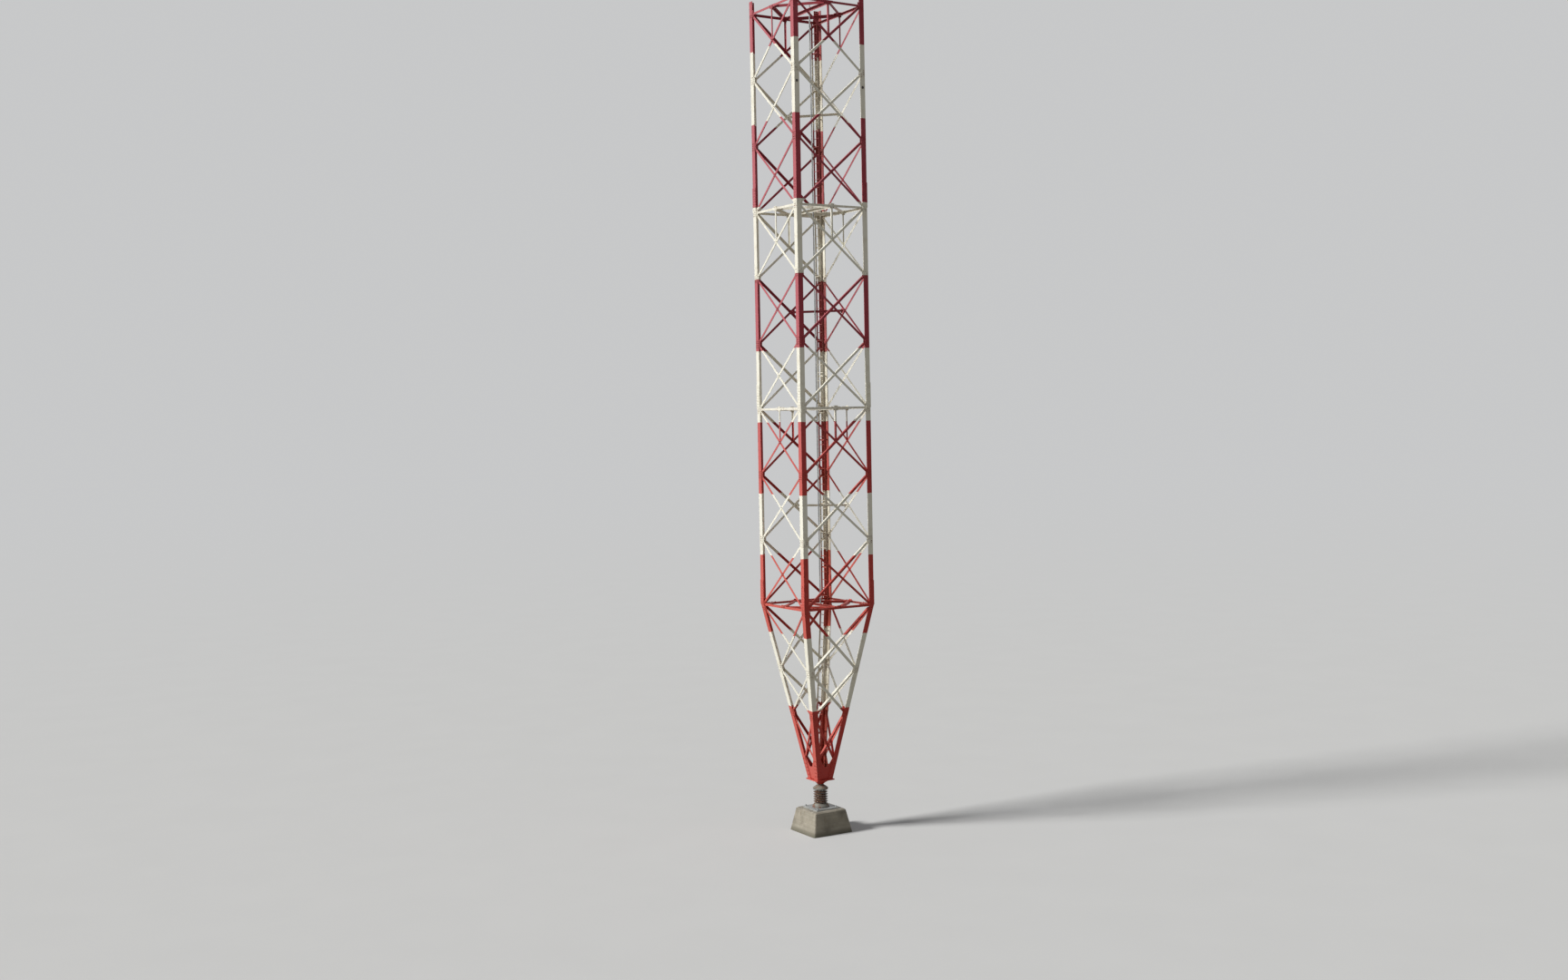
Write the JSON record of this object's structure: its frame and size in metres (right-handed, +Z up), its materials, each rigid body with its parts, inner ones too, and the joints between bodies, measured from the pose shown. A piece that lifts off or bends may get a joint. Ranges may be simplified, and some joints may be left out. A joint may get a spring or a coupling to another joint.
{
  "type": "guyed radio mast lower section",
  "caption": "Square lattice radio mast, lowest bays: tapered foot on a porcelain base insulator and plinth, crossed angle bracing, ladder inside, red and white bands.",
  "frame": {"origin": "middle of the plinth's flat underside, at ground level, on the mast's axis", "axes": "+Z up along the mast; the square sides face -Y (front), +X (right), +Y (back) and -X (left); the ladder is by the back right leg"},
  "size_m": [3.048, 3.048, 30.46],
  "materials": {
    "concrete": "rough cast concrete, weathered",
    "galvanised_steel": "dull zinc coating",
    "grey_iron": "cast, painted grey",
    "brown_porcelain": "brown glaze",
    "red_paint": "faded red paint",
    "mast_paint": "faded red and cream bands about 2.5 to 3 m tall, weathered",
    "ladder_paint": "worn banded paint"
  },
  "bodies": {
    "root": {"anchor_bolts": "galvanised_steel", "base_insulator": "brown_porcelain", "bay_1_bracing_back": "mast_paint", "bay_1_bracing_front": "mast_paint", "bay_1_bracing_left": "mast_paint", "bay_1_bracing_right": "mast_paint", "bay_2_bracing_back": "mast_paint", "bay_2_bracing_front": "mast_paint", "bay_2_bracing_left": "mast_paint", "bay_2_bracing_right": "mast_paint", "bay_3_bracing_back": "mast_paint", "bay_3_bracing_front": "mast_paint", "bay_3_bracing_left": "mast_paint", "bay_3_bracing_right": "mast_paint", "bed_plate": "galvanised_steel", "cable_pipe": "galvanised_steel", "corner_struts": "mast_paint", "foot_bracing_back": "mast_paint", "foot_bracing_front": "mast_paint", "foot_bracing_left": "mast_paint", "foot_bracing_right": "mast_paint", "foot_casting": "red_paint", "foot_ladder": "ladder_paint", "foot_leg_back_left": "mast_paint", "foot_leg_back_right": "mast_paint", "foot_leg_front_left": "mast_paint", "foot_leg_front_right": "mast_paint", "ladder_bay_1": "ladder_paint", "ladder_bay_2": "ladder_paint", "ladder_bay_3": "ladder_paint", "leg_back_left": "mast_paint", "leg_back_right": "mast_paint", "leg_front_left": "mast_paint", "leg_front_right": "mast_paint", "leg_splices": "mast_paint", "lower_cap": "grey_iron", "plinth": "concrete", "ring_frame_1": "mast_paint", "ring_frame_2": "mast_paint", "ring_frame_3": "mast_paint", "ring_frame_4": "mast_paint", "rocker": "grey_iron", "upper_cap": "grey_iron"}
  },
  "joints": []
}
